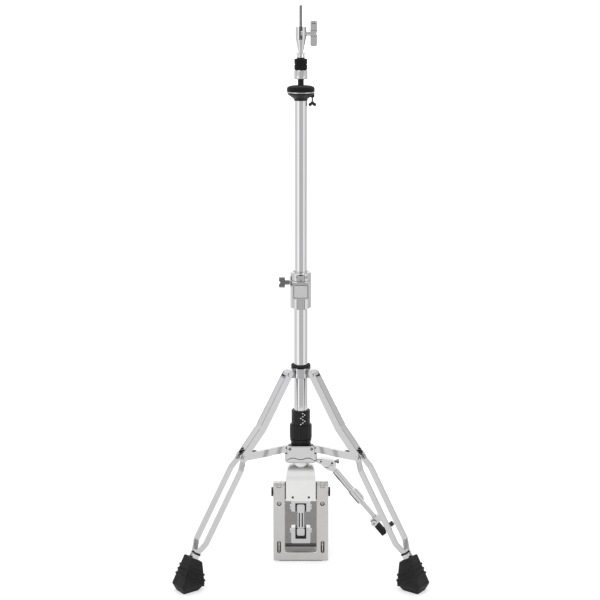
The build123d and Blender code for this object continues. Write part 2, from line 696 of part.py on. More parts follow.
TOE_Y = -7.0
BOARD_TOE_Z, BOARD_HEEL_Z = 31.0, 24.0
with BuildPart() as footboard:
    with BuildSketch(Plane.YZ):
        with BuildLine():
            Polyline((TOE_Y, BOARD_TOE_Z - 6), (TOE_Y, BOARD_TOE_Z), (HEEL[0], BOARD_HEEL_Z),
                     (HEEL[0], BOARD_HEEL_Z - 7), (HEEL[0] - 12, BOARD_HEEL_Z - 5.8), close=True)
        make_face()
    extrude(amount=BOARD_HALF, both=True)
    fillet(footboard.edges().filter_by(Axis.Z).sort_by(Axis.Y)[:2], 5)
    with BuildSketch(Plane.YZ):
        with Locations((HEEL[0] + 4, HEEL[1])):
            Rectangle(26, 40)
    extrude(amount=60, both=True, mode=Mode.SUBTRACT)
    with BuildSketch(Plane.YZ):
        with Locations(HEEL):
            Circle(6.8)
        with Locations((HEEL[0] - 8, 20.2)):
            Rectangle(14, 6)
    extrude(amount=29.2, both=True)
    with BuildSketch(Plane.YZ):
        with Locations(HEEL):
            Circle(3.0 + RUN)
    extrude(amount=60, both=True, mode=Mode.SUBTRACT)
save(footboard, "footboard")

# ---- drive link -----------------------------------------------------------------------------------------
ARM_IN, ARM_OUT, PIN_R = 11.5, 20.0, 2.5


def clevis(pin_z, bridge_low, bridge_high, block_low, block_high):
    """Fork of two arms about the link: the bridge joins the arms above or below the pin."""
    low, high = min(bridge_low, block_low), max(bridge_high, block_high)
    with BuildPart() as fork:
        with BuildSketch(Plane.XZ.offset(-7.5)):
            with Locations((0, (low + high) / 2)):
                RectangleRounded(2 * ARM_OUT, high - low, 3)
            with Locations((0, (block_low + block_high) / 2)):
                Rectangle(2 * ARM_IN, block_high - block_low, mode=Mode.SUBTRACT)
        extrude(amount=15)
        with BuildSketch(Plane.YZ):
            with Locations((0, pin_z)):
                Circle(PIN_R)
        extrude(amount=40, both=True, mode=Mode.SUBTRACT)
    return fork


toe_fork = clevis(TOE_PIN_Z, 30.8, 41, 41, 66)
with BuildPart() as toe_clevis:
    add(toe_fork.part)
    with BuildSketch(Plane.YZ):
        with BuildLine():
            Polyline((-10, 20), (-10, BOARD_TOE_Z + 0.08), (10, BOARD_TOE_Z - 0.44), (10, 20), close=True)
        make_face()
    extrude(amount=40, both=True, mode=Mode.SUBTRACT)
save(toe_clevis, "toe_clevis")

rod_fork = clevis(ROD_PIN_Z, 119.5, 131, 101, 119.5)
with BuildPart() as rod_clevis:
    add(rod_fork.part)
    with BuildSketch(Plane.XY.offset(PULL_Z[0])):
        Circle(PULL_R)
    extrude(amount=10, mode=Mode.SUBTRACT)
save(rod_clevis, "rod_clevis")

for pin_name, pin_z in (("toe_pin", TOE_PIN_Z), ("rod_pin", ROD_PIN_Z)):
    with BuildPart() as cross_pin:
        with BuildSketch(Plane.YZ):
            with Locations((0, pin_z)):
                Circle(PIN_R)
        extrude(amount=ARM_OUT, both=True)
        for side in (-1, 1):
            with BuildSketch(Plane.YZ.offset(side * ARM_OUT)):
                with Locations((0, pin_z)):
                    Circle(5.2)
            extrude(amount=side * 2.6)
            with BuildSketch(Plane.YZ.offset(side * 8.2)):
                with Locations((0, pin_z)):
                    Circle(5.0)
            extrude(amount=side * (ARM_IN - 8.2))
    save(cross_pin, pin_name)

with BuildPart() as drive_link:
    with BuildSketch(Plane.XZ.offset(-5.5)):
        with Locations((0, ROD_PIN_Z), (0, TOE_PIN_Z)):
            RectangleRounded(15.4, 16, 3.5)
    extrude(amount=11)
    with BuildSketch(Plane.XZ.offset(-4.5)):
        with Locations((0, (ROD_PIN_Z + TOE_PIN_Z) / 2)):
            Rectangle(13.4, ROD_PIN_Z - TOE_PIN_Z)
    extrude(amount=9)
    for side in (-1, 1):
        with BuildSketch(Plane.XZ.offset(side * 5.5)):
            with Locations((-3.1, 81.5), (3.1, 81.5)):
                RectangleRounded(2.6, 32, 1.2)
        extrude(amount=-side * 3, mode=Mode.SUBTRACT)
    with BuildSketch(Plane.YZ):
        with Locations((0, ROD_PIN_Z)):
            Circle(PIN_R + RUN)
        with Locations((0, TOE_PIN_Z)):
            Circle(PIN_R + GAP)
            with BuildLine():
                Polyline((-0.97, 2.63), (14, 9.2), (14, 2.6), (0.97, -2.63), close=True)
            make_face()
    extrude(amount=40, both=True, mode=Mode.SUBTRACT)
save(drive_link, "drive_link")

# ---- cymbal seat ----------------------------------------------------------------------------------------
TILT_X = 22.5
with BuildPart() as seat_cup:
    with BuildSketch(Plane.XZ):
        with BuildLine():
            Polyline((UPPER_R, 947.5), (13.4, 947.5), (13.4, 950.5), (14.4, 951.0), (25.4, 959.4), (26.4, SEAT_Z),
                     (9.4, SEAT_Z), (9.4, 957.5), (7, 955.0), (UPPER_R, 955.0), close=True)
        make_face()
    revolve(axis=Axis.Z)
    with BuildSketch(Plane.XY.offset(953.5)):
        with Locations((TILT_X, 0)):
            Circle(4.2)
    extrude(amount=SEAT_Z - 953.5)
    with BuildSketch(Plane.XY.offset(950)):
        with Locations((TILT_X, 0)):
            Circle(1.8 + RUN)
    extrude(amount=20, mode=Mode.SUBTRACT)
save(seat_cup, "seat_cup")

save(turned([(ROD_R + 0.4, 957.5), (9.4, 957.5), (9.4, SEAT_Z - 0.3), (5.9, SEAT_Z - 0.3), (5.9, 987.5),
             (4.5, 988.5), (ROD_R + 0.4, 988.5)]), "seat_sleeve")
save(turned([(7.5, 963.0), (27.2, 963.0), (27.2, 964.6), (7.5, 964.6)]), "seat_tilt_plate")
save(turned([(7.0, 964.6), (27.0, 964.6), (27.0, 971.5), (25.5, 974.0), (20.0, 975.8), (12.0, 976.6),
             (7.0, 976.8)]), "seat_felt")

with BuildPart() as tilt_screw:
    with BuildSketch(Plane.XY.offset(945.5)):
        with Locations((TILT_X, 0)):
            Circle(1.8)
    extrude(amount=962.7 - 945.5)
save(tilt_screw, "tilt_screw")

with BuildPart() as tilt_wing_nut:
    with BuildSketch(Plane.XY.offset(943.5)):
        with Locations((TILT_X, 0)):
            Circle(3.2)
    extrude(amount=2.0)
    with BuildSketch(Plane.XZ.offset(-1.5)):
        with Locations((TILT_X, 941.2)):
            Rectangle(9, 4.6)
        with Locations((TILT_X - 4.4, 939.6), (TILT_X + 4.4, 939.6)):
            Circle(3.3)
    extrude(amount=3)
save(tilt_wing_nut, "tilt_wing_nut")

# ---- clutch ---------------------------------------------------------------------------------------------
CLUTCH_TUBE_R = 5.2
with BuildPart() as clutch_body:
    with BuildSketch(Plane.XZ):
        with BuildLine():
            Polyline((ROD_R + 0.4, 992), (ROD_R + 0.4, 1051), (ROD_R + RUN, 1051), (ROD_R + RUN, 1088.6),
                     (9.8, 1088.6), (10.8, 1087.6), (10.8, 1065), (10.0, 1063.5), (6.4, 1045.5), (6.4, 1044.5),
                     (CLUTCH_TUBE_R, 1044.5), (CLUTCH_TUBE_R, 992), close=True)
        make_face()
    revolve(axis=Axis.Z)
    with BuildSketch(Plane.XY.offset(1064)):
        with Locations((0, -8)):
            Rectangle(6.6, 14)
    extrude(amount=30, mode=Mode.SUBTRACT)
    with BuildSketch(Plane.YZ):
        with Locations((0, 1075.5)):
            Circle(5.5)
    extrude(amount=13)
    with BuildSketch(Plane.XY.offset(1060)):
        Circle(ROD_R + RUN)
    extrude(amount=30, mode=Mode.SUBTRACT)
    with BuildSketch(Plane.YZ.offset(ROD_R + 1)):
        with Locations((0, 1075.5)):
            Circle(2.8)
    extrude(amount=20, mode=Mode.SUBTRACT)
save(clutch_body, "clutch_body")

with BuildPart() as clutch_wing_screw:
    with BuildSketch(Plane.YZ.offset(ROD_R + 1.2)):
        with Locations((0, 1075.5)):
            Circle(2.7)
    extrude(amount=13)
    with BuildSketch(Plane.YZ.offset(13.4)):
        with Locations((0, 1075.5)):
            Circle(4.6)
    extrude(amount=6)
    with BuildSketch(Plane.XZ.offset(-3.8)):
        with Locations((24.8, 1063.5), (24.8, 1087.5)):
            RectangleRounded(13.2, 25, 4)
        with Locations((23.4, 1075.5)):
            Rectangle(10, 14)
    extrude(amount=7.6)
save(clutch_wing_screw, "clutch_wing_screw")

with BuildPart() as clutch_top_nut:
    with BuildSketch(Plane.XZ):
        with BuildLine():
            Polyline((CLUTCH_TUBE_R, 1028.0), (7.2, 1028.0), (8.0, 1030.0), (7.4, 1037.0), (10.8, 1037.3), (10.8, 1039.2),
                     (CLUTCH_TUBE_R, 1039.2), close=True)
        make_face()
    revolve(axis=Axis.Z)
    with BuildSketch(Plane.XZ):
        with Locations((0, 1032.5)):
            Circle(1.3)
    extrude(amount=12, both=True, mode=Mode.SUBTRACT)
save(clutch_top_nut, "clutch_top_nut")

with BuildPart() as clutch_felts:
    with BuildSketch(Plane.XZ):
        for low in (1006.3, 1017.2):
            with Locations(((CLUTCH_TUBE_R + 12.6) / 2 + 0.05, low + 5.2)):
                RectangleRounded(12.6 - CLUTCH_TUBE_R - 0.1, 10.3, 1.5)
    revolve(axis=Axis.Z)
save(clutch_felts, "clutch_felts")

with BuildPart() as clutch_bottom_nut:
    with BuildSketch(Plane.XZ):
        with BuildLine():
            Polyline((CLUTCH_TUBE_R + 0.05, 992), (CLUTCH_TUBE_R + 0.05, 1005.9), (13.3, 1005.9), (13.7, 1004.9),
                     (13.7, 990), (12.9, CLUTCH_Z), (6.0, CLUTCH_Z), close=True)
        make_face()
    revolve(axis=Axis.Z)
    with BuildSketch(Plane.XY.offset(996)):
        with PolarLocations(14.6, 6):
            Circle(2.6)
    extrude(amount=20, mode=Mode.SUBTRACT)
save(clutch_bottom_nut, "clutch_bottom_nut")

# ---- stabiliser arm -------------------------------------------------------------------------------------
ARM_Y = -12.0
ARM_START = (62.0, 203.0)
ARM_DIR = (0.631, -0.776)
ARM_TUBE_R, ARM_ROD_R = 6.8, 4.8
arm_plane = Plane(origin=(ARM_START[0], ARM_Y, ARM_START[1]), x_dir=(ARM_DIR[0], 0, ARM_DIR[1]), z_dir=(0, -1, 0))


def arm_section(distance):
    """Plane across the arm at a distance from its hinge; x points to the front."""
    origin = (ARM_START[0] + distance * ARM_DIR[0], ARM_Y, ARM_START[1] + distance * ARM_DIR[1])
    return Plane(origin=origin, x_dir=(0, -1, 0), z_dir=(ARM_DIR[0], 0, ARM_DIR[1]))


with BuildPart() as arm_bracket:
    with BuildSketch(Plane.XZ.offset(-ARM_Y - 8)):
        with BuildLine():
            Polyline((30, 219), (44, 221), (66, 218), (72, 212), (72, 204), (62, 194), (54, 197), (42, 208),
                     (30, 213.5), close=True)
        make_face()
    extrude(amount=16)
    with BuildSketch(Plane.XZ.offset(-ARM_Y - 5.8)):
        with Locations(ARM_START):
            Circle(8.3)
        with Locations((74, 192)):
            Rectangle(30, 20, rotation=-51)
    extrude(amount=11.6, mode=Mode.SUBTRACT)
    with BuildSketch(Plane.XZ.offset(-ARM_Y - 8)):
        with Locations(ARM_START):
            Circle(2.5)
    extrude(amount=16)
    for low in (-ARM_Y - 10, -ARM_Y + 8):
        with BuildSketch(Plane.XZ.offset(low)):
            with Locations(ARM_START):
                Circle(4.4)
        extrude(amount=2)
    with BuildSketch(Plane.XY.offset(CLAMP_Z - 5)):
        hub_outline(-0.01)
    extrude(amount=40, mode=Mode.SUBTRACT)
    with BuildSketch(Plane.YZ.offset(66)):
        with Locations((ARM_Y, 213)):
            Circle(2.2)
    extrude(amount=10, mode=Mode.SUBTRACT)
save(arm_bracket, "arm_bracket")

with BuildPart() as arm_lock_wing:
    with BuildSketch(Plane.YZ.offset(66.2)):
        with Locations((ARM_Y, 213)):
            Circle(2.1)
    extrude(amount=8)
    with BuildSketch(Plane.YZ.offset(73)):
        with Locations((ARM_Y, 213)):
            SlotCenterToCenter(9, 6)
    extrude(amount=5.5)
save(arm_lock_wing, "arm_lock_wing")

with BuildPart() as arm_outer_tube:
    with BuildSketch(arm_section(7)):
        Circle(5.5)
    extrude(amount=8)
    with BuildSketch(arm_section(13)):
        Circle(ARM_TUBE_R)
    extrude(amount=59)
    with BuildSketch(arm_plane.offset(-5.2)):
        with Locations((4, 0)):
            SlotCenterToCenter(8, 10.4)
    extrude(amount=10.4)
    with BuildSketch(arm_section(18)):
        Circle(ARM_ROD_R + GAP)
    extrude(amount=60, mode=Mode.SUBTRACT)
    with BuildSketch(arm_plane.offset(-20)):
        Circle(2.5 + RUN)
    extrude(amount=40, mode=Mode.SUBTRACT)
save(arm_outer_tube, "arm_outer_tube")

with BuildPart() as arm_lock_sleeve:
    with BuildSketch(arm_section(66)):
        Circle(8.4)
    extrude(amount=34)
    chamfer(arm_lock_sleeve.edges().filter_by(GeomType.CIRCLE), 1.5)
    with BuildSketch(arm_plane.offset(-3)):
        with Locations((83, 8.5)):
            RectangleRounded(24, 5, 2)
    extrude(amount=6)
    with BuildSketch(arm_section(60)):
        Circle(ARM_TUBE_R)
    extrude(amount=12, mode=Mode.SUBTRACT)
    with BuildSketch(arm_section(60)):
        Circle(ARM_ROD_R + RUN)
    extrude(amount=60, mode=Mode.SUBTRACT)
save(arm_lock_sleeve, "arm_lock_sleeve")

with BuildPart() as arm_inner_rod:
    with BuildSketch(arm_section(22)):
        Circle(ARM_ROD_R)
    extrude(amount=126)
save(arm_inner_rod, "arm_inner_rod")

with BuildPart() as hoop_clamp:
    with BuildSketch(arm_plane.offset(-6)):
        with BuildLine():
            Polyline((144, -6), (158, -8), (158, -3), (184, -3), (184, -8.5), (152, -14.5), (143, -10), close=True)
        make_face()
        with Locations((150, 0.5)):
            Rectangle(14, 26)
        with Locations((166, 9.5)):
            Rectangle(40, 7)
        with Locations((170, -5.5)):
            Rectangle(28, 4)
    extrude(amount=12)
    with BuildSketch(arm_section(140)):
        Circle(ARM_ROD_R)
    extrude(amount=8, mode=Mode.SUBTRACT)
    with BuildSketch(Plane(origin=arm_plane.from_local_coords((178, 0, 0)), x_dir=(0, -1, 0),
                           z_dir=(-ARM_DIR[1], 0, ARM_DIR[0]))):
        Circle(2.6)
    extrude(amount=30, mode=Mode.SUBTRACT)
    with BuildSketch(Plane(origin=arm_plane.from_local_coords((151, -8, 6)), x_dir=(1, 0, 0), z_dir=(0, -1, 0))):
        Circle(6.0)
        RegularPolygon(2.4, 6, mode=Mode.SUBTRACT)
    extrude(amount=5)
save(hoop_clamp, "hoop_clamp")

with BuildPart() as hoop_pad:
    with BuildSketch(arm_plane.offset(-8.5)):
        with Locations((171.5, -6.4)):
            RectangleRounded(26, 11.5, 2)
    extrude(amount=17)
    with BuildSketch(arm_plane.offset(-6)):
        with Locations((170, -5.5)):
            Rectangle(28.2, 4.2)
        with BuildLine():
            Polyline((144, -6), (158, -8), (158, -3), (184, -3), (184, -8.5), (152, -14.5), (143, -10), close=True)
        make_face()
    extrude(amount=12, mode=Mode.SUBTRACT)
save(hoop_pad, "hoop_pad")

side_plane = Plane(origin=arm_plane.from_local_coords((178, 2, 0)), x_dir=(0, -1, 0),
                   z_dir=(-ARM_DIR[1], 0, ARM_DIR[0]))
with BuildPart() as hoop_screw:
    with BuildSketch(side_plane):
        Circle(2.5)
    extrude(amount=15)
    with BuildSketch(side_plane.offset(12)):
        Circle(5.0)
    extrude(amount=8)
    with BuildSketch(side_plane.offset(-1.5)):
        Circle(4.0)
    extrude(amount=2)
save(hoop_screw, "hoop_screw")
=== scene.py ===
"""Looks of the hi-hat stand: materials, fine detail pieces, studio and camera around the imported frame.

Units are metres. +Z runs up the tube, -Y points to the viewer and +Y along the footboard to its heel.
"""
import json
from math import atan2, cos, pi, radians, sin

import bmesh
import bpy
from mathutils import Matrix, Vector

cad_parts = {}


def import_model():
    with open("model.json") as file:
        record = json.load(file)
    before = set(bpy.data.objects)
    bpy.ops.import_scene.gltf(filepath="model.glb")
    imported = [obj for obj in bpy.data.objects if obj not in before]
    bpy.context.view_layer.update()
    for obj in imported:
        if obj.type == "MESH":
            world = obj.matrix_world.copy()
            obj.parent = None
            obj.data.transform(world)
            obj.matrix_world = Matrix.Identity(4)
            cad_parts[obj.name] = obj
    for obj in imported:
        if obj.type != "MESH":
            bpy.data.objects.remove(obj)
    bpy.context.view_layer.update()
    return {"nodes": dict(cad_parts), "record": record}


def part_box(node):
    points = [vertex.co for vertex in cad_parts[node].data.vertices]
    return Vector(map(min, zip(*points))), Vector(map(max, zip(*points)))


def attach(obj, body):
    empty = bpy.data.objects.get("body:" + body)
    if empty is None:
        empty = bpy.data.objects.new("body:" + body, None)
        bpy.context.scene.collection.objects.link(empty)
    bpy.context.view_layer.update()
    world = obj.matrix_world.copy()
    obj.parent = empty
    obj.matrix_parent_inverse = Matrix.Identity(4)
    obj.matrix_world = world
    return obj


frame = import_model()
nodes = frame["nodes"]
MM = 0.001


# ---- shader helpers -------------------------------------------------------------------------------------
class Shader:
    """A principled material whose sockets are filled by name and fed by short chains of nodes."""

    def __init__(self, name, **values):
        self.material = bpy.data.materials.new(name)
        self.material.use_nodes = True
        self.tree = self.material.node_tree
        self.bsdf = self.tree.nodes["Principled BSDF"]
        self.coords = self.add("ShaderNodeTexCoord").outputs["Object"]
        for socket, value in values.items():
            self.bsdf.inputs[socket.replace("_", " ")].default_value = value

    def add(self, kind):
        return self.tree.nodes.new(kind)

    def link(self, source, target):
        self.tree.links.new(source, target)

    def stretched(self, z):
        """Object coordinates scaled along the height."""
        mapping = self.add("ShaderNodeMapping")
        mapping.inputs["Scale"].default_value = (1.0, 1.0, z)
        self.link(self.coords, mapping.inputs["Vector"])
        return mapping.outputs["Vector"]

    def noise(self, scale, detail=4.0, roughness=0.6, vector=None):
        node = self.add("ShaderNodeTexNoise")
        node.inputs["Scale"].default_value = scale
        node.inputs["Detail"].default_value = detail
        node.inputs["Roughness"].default_value = roughness
        self.link(vector or self.coords, node.inputs["Vector"])
        return node.outputs["Fac"]

    def cells(self, scale):
        node = self.add("ShaderNodeTexVoronoi")
        node.inputs["Scale"].default_value = scale
        self.link(self.coords, node.inputs["Vector"])
        return node.outputs["Distance"]

    def remap(self, value, low, high):
        """Turns the middle of a 0 to 1 value's spread into the range low to high."""
        node = self.add("ShaderNodeMapRange")
        node.inputs["From Min"].default_value = 0.3
        node.inputs["From Max"].default_value = 0.7
        node.inputs["To Min"].default_value = low
        node.inputs["To Max"].default_value = high
        self.link(value, node.inputs["Value"])
        return node.outputs["Result"]

    def colours(self, value, first, second, start=0.3, end=0.7):
        """Blends two colours as a value goes from start to end."""
        node = self.add("ShaderNodeValToRGB")
        node.color_ramp.elements[0].position = start
        node.color_ramp.elements[1].position = end
        node.color_ramp.elements[0].color = (*first, 1)
        node.color_ramp.elements[1].color = (*second, 1)
        self.link(value, node.inputs["Fac"])
        return node.outputs["Color"]

    def feed(self, socket, value):
        self.link(value, self.bsdf.inputs[socket])

    def bump(self, value, strength, distance):
        """Adds a bump on top of those that the material already has."""
        node = self.add("ShaderNodeBump")
        node.inputs["Strength"].default_value = strength
        node.inputs["Distance"].default_value = distance
        self.link(value, node.inputs["Height"])
        normal = self.bsdf.inputs["Normal"]
        if normal.is_linked:
            self.link(normal.links[0].from_socket, node.inputs["Normal"])
        self.link(node.outputs["Normal"], normal)


# ---- materials ------------------------------------------------------------------------------------------
def chrome(name, shade=0.50, rough=0.05):
    m = Shader(name, Metallic=1.0)
    smudge = m.noise(9.0, 5.0)
    m.feed("Base Color", m.colours(smudge, (shade * 0.96,) * 3, (shade, shade, shade * 1.01)))
    m.feed("Roughness", m.remap(m.noise(35.0, 6.0), rough * 0.7, rough * 1.7))
    m.bump(m.noise(900.0, 3.0), 0.05, 0.00005)
    return m.material


def satin_metal(name, tone=(0.50, 0.495, 0.475), rough=0.34):
    m = Shader(name, Metallic=1.0)
    m.feed("Base Color", m.colours(m.noise(14.0, 6.0), tuple(c * 0.93 for c in tone), tone))
    grain = m.noise(260.0, 4.0, vector=m.stretched(14.0))
    m.feed("Roughness", m.remap(grain, rough * 0.85, rough * 1.2))
    m.bump(grain, 0.12, 0.00008)
    m.bump(m.noise(1500.0, 2.0), 0.12, 0.00005)
    return m.material


def drawn_steel(name, shade=0.60, rough=0.22):
    m = Shader(name, Metallic=1.0)
    lines = m.noise(1400.0, 3.0, vector=m.stretched(0.02))
    m.feed("Base Color", m.colours(lines, (shade * 0.88,) * 3, (shade, shade, shade * 1.01)))
    m.feed("Roughness", m.remap(lines, rough * 0.8, rough * 1.3))
    m.bump(lines, 0.08, 0.00004)
    return m.material


def nylon(name, tone=0.006, rough=0.42):
    m = Shader(name, Specular_IOR_Level=0.22)
    m.feed("Base Color", m.colours(m.noise(22.0, 5.0), (tone * 0.8,) * 3, (tone * 1.3,) * 3))
    m.feed("Roughness", m.remap(m.noise(70.0, 5.0), rough * 0.85, rough * 1.2))
    m.bump(m.noise(2600.0, 3.0), 0.25, 0.00006)
    return m.material


def gloss_plastic(name, tone=0.005):
    m = Shader(name, Coat_Weight=0.3, Coat_Roughness=0.12, Specular_IOR_Level=0.3)
    m.feed("Base Color", m.colours(m.noise(18.0, 4.0), (tone * 0.8,) * 3, (tone * 1.3,) * 3))
    m.feed("Roughness", m.remap(m.noise(50.0, 5.0), 0.22, 0.34))
    m.bump(m.noise(1200.0, 2.0), 0.08, 0.00005)
    return m.material


def enamel(name, tone=0.006):
    m = Shader(name, Coat_Weight=0.1, Coat_Roughness=0.2, Specular_IOR_Level=0.3)
    m.feed("Base Color", m.colours(m.noise(30.0, 4.0), (tone * 0.8,) * 3, (tone * 1.4,) * 3))
    m.feed("Roughness", m.remap(m.noise(90.0, 4.0), 0.30, 0.44))
    m.bump(m.cells(1500.0), 0.12, 0.00008)
    return m.material


def rubber(name, tone=0.007):
    m = Shader(name, Specular_IOR_Level=0.2)
    dust = m.noise(12.0, 7.0, 0.7)
    m.feed("Base Color", m.colours(dust, (tone,) * 3, (tone * 2.0, tone * 2.0, tone * 1.9), 0.45, 0.85))
    m.feed("Roughness", m.remap(m.noise(60.0, 6.0), 0.55, 0.75))
    m.bump(m.noise(1800.0, 4.0), 0.3, 0.0001)
    return m.material


def felt(name, tone=0.006):
    m = Shader(name, Sheen_Weight=0.08, Sheen_Roughness=0.5, Roughness=0.95, Specular_IOR_Level=0.1)
    fibre = m.noise(900.0, 6.0, 0.75, vector=m.stretched(1.6))
    m.feed("Base Color", m.colours(fibre, (tone * 0.6,) * 3, (tone * 2.4,) * 3, 0.35, 0.75))
    m.bump(fibre, 0.7, 0.0005)
    return m.material


CHROME = chrome("chrome_plate")
TUBE_CHROME = chrome("tube_chrome", 0.55, 0.035)
# Painted dark reflection: chrome with its base colour darkened, used on the collar's wing bolt in place of
# the dark surroundings it reflects.
CHROME_PAINTED_DARK_REFLECTION = chrome("chrome_painted_dark_reflection", 0.17, 0.09)
SATIN = satin_metal("satin_metal")
# Dark grey footboard: partly its own tone and partly painted shade for the shade it lies in under the pedal
# frame.
BOARD_TONE_AND_SHADE = satin_metal("board_metal_tone_and_shade", (0.12, 0.118, 0.113), 0.45)
NECK = satin_metal("neck_metal", (0.72, 0.72, 0.71), 0.45)
PLATE = satin_metal("plate_metal", (0.66, 0.66, 0.65), 0.25)
STEEL = drawn_steel("drawn_steel")
ROD_STEEL = drawn_steel("rod_steel", 0.20, 0.2)
BOLT_STEEL = drawn_steel("bolt_steel", 0.16, 0.28)
NYLON = nylon("black_nylon")
GLOSS = gloss_plastic("black_gloss")
ENAMEL = enamel("black_enamel")
RUBBER = rubber("black_rubber")
FELT = felt("black_felt")

FINISH = {"chrome": CHROME, "satin_frame": SATIN, "steel": STEEL, "black_nylon": NYLON,
          "black_gloss": GLOSS, "black_paint": ENAMEL, "rubber": RUBBER, "felt": FELT}


def dress(node, material):
    """Gives a carried-over node one material."""
    slots = nodes[node].data.materials
    slots.clear()
    slots.append(material)


for part in frame["record"]["subparts"]:
    dress(part["node"], FINISH[part["material_slot"]])
# Nodes whose look differs a little from their finish's usual one.
for node, material in (("upper_tube", TUBE_CHROME), ("lower_tube", TUBE_CHROME), ("cymbal_rod", ROD_STEEL),
                       ("footboard", BOARD_TONE_AND_SHADE), ("collar_wing_bolt", CHROME_PAINTED_DARK_REFLECTION), ("rod_clevis", CHROME),
                       ("drive_link", CHROME), ("tilt_screw", BOLT_STEEL), ("brace_pivot_bolts", BOLT_STEEL),
                       ("arm_lock_wing", BOLT_STEEL), ("seat_cup", NYLON), ("neck", NECK)):
    dress(node, material)


# ---- small pieces: their sizes and places are in millimetres --------------------------------------------
ACROSS, UP = (1, 0, 0), (0, 0, 1)

# Each leg's azimuth in degrees, and the side that its inner bar is on.
LEGS = (("left", 216.6, 1), ("right", 323.4, -1))
# A leg channel's middle line as (distance from the tube's axis, height), and the direction of the bars below.
LEG_PATH = ((33.0, 401.0), (99.5, 299.8), (147.0, 249.0))
BAR_OUT, BAR_UP = 0.5353, -0.8447


def finish_mesh(name, bm, body, material, bevel=0.0):
    """Turns a bmesh into a piece that rides on a body, with its edges rounded by the bevel."""
    bmesh.ops.recalc_face_normals(bm, faces=bm.faces)
    mesh = bpy.data.meshes.new(name)
    bm.to_mesh(mesh)
    bm.free()
    piece = bpy.data.objects.new(name, mesh)
    bpy.context.scene.collection.objects.link(piece)
    mesh.materials.append(material)
    for face in mesh.polygons:
        face.use_smooth = True
    if bevel:
        rounding = piece.modifiers.new("rounding", "BEVEL")
        rounding.width = bevel
        rounding.segments = 3
        rounding.limit_method = "ANGLE"
        normals = piece.modifiers.new("normals", "WEIGHTED_NORMAL")
        normals.keep_sharp = True
    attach(piece, body)


def join_rings(bm, rings):
    """Fills the bands between neighbouring rings of vertices."""
    for first, second in zip(rings, rings[1:]):
        count = len(first)
        for i in range(count):
            j = (i + 1) % count
            bm.faces.new((first[i], first[j], second[j], second[i]))


def add_slab(bm, outline, origin, across, up, depth):
    """Adds a plate: an outline of (across, up) points, thickened both ways by depth / 2."""
    across, up = Vector(across).normalized(), Vector(up).normalized()
    through = across.cross(up)
    back, front = [[bm.verts.new((Vector(origin) + across * a + up * b + through * depth * side) * MM)
                    for a, b in outline] for side in (-0.5, 0.5)]
    bm.faces.new(back[::-1])
    bm.faces.new(front)
    join_rings(bm, [back, front])


def rounded(width, height, radius, steps=5):
    """Outline of a rectangle with round corners, centred, as (across, up) points."""
    points = []
    for corner, (sx, sy) in enumerate([(1, 1), (-1, 1), (-1, -1), (1, -1)]):
        for step in range(steps + 1):
            angle = pi / 2 * (corner + step / steps)
            points.append((sx * (width / 2 - radius) + radius * cos(angle),
                           sy * (height / 2 - radius) + radius * sin(angle)))
    return points


def front_strips(name, body, strips, y, material=ENAMEL):
    """Flat strips with round ends set on a face towards the viewer: (x, z, width, height) each."""
    thickness, roundness, steps = 0.5, 0.45, 3
    bm = bmesh.new()
    for x, z, width, height in strips:
        outline = rounded(width, height, min(width, height) * roundness, steps)
        add_slab(bm, outline, (x, y, z), ACROSS, UP, thickness)
    finish_mesh(name, bm, body, material)


# ---- legs and feet --------------------------------------------------------------------------------------
def leg_directions(azimuth):
    """A leg's level directions: outward from the tube, and sideways."""
    outward = Vector((cos(radians(azimuth)), sin(radians(azimuth)), 0))
    return outward, Vector((-outward.y, outward.x, 0))


def section_points(mesh, place, normal):
    """Points where a plane cuts a mesh's edges."""
    cut = bmesh.new()
    cut.from_mesh(mesh)
    made = bmesh.ops.bisect_plane(cut, geom=cut.verts[:] + cut.edges[:] + cut.faces[:],
                                  plane_co=place, plane_no=normal)
    points = [v.co.copy() for v in made["geom_cut"] if isinstance(v, bmesh.types.BMVert)]
    cut.free()
    return points


def section_angle(offset, heading, normal):
    """Angle in the section's plane from a heading round to an offset."""
    sideways = normal.cross(heading)
    return atan2(offset.dot(sideways), offset.dot(heading))


def section_reach(points, heart, heading, normal):
    """Distance from the middle of a convex section to its edge along a heading."""
    parallel, slack = 1e-12, 1e-6
    order = sorted(points, key=lambda p: section_angle(p - heart, heading, normal))
    best = 0.0
    for a, b in zip(order, order[1:] + order[:1]):
        edge = b - a
        cross = heading.cross(edge).dot(normal)
        if abs(cross) < parallel:
            continue
        along = (a - heart).cross(edge).dot(normal) / cross
        share = (a - heart).cross(heading).dot(normal) / cross
        if -slack <= share <= 1 + slack and along > best:
            best = along
    return best


def foot_ribs(side, body):
    """Three raised rubber ribs around a foot, each following the foot's own section."""
    ribs, turns = 3, 72
    top_out, top_height = 0.2685, 0.066        # the foot's upper end, in metres
    first_rib, rib_step = 0.021, 0.0095        # down from that end, in metres
    profile = ((-0.6, -2.6), (1.5, -2.0), (2.5, -0.8), (2.5, 0.8), (1.5, 2.0), (-0.6, 2.6))
    low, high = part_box(side + "_foot")
    middle = (Vector(low) + Vector(high)) / 2
    outward = Vector((middle.x, middle.y, 0)).normalized()
    down = (outward * BAR_OUT + Vector((0, 0, BAR_UP))).normalized()
    top = Vector((outward.x * top_out, outward.y * top_out, top_height))
    sideways = down.cross(outward).normalized()
    forward = sideways.cross(down).normalized()
    bm = bmesh.new()
    for rib in range(ribs):
        centre = top + down * (first_rib + rib_step * rib)
        points = section_points(nodes[side + "_foot"].data, centre, down)
        heart = sum(points, Vector()) / len(points)
        loop = []
        for turn in range(turns):
            heading = sideways * cos(2 * pi * turn / turns) + forward * sin(2 * pi * turn / turns)
            loop.append(heart + heading * section_reach(points, heart, heading, down))
        join_rings(bm, [[bm.verts.new(p + (p - heart).normalized() * out * MM + down * along * MM)
                         for p in loop] for out, along in profile])
    finish_mesh(side + "_foot_ribs", bm, body, RUBBER)


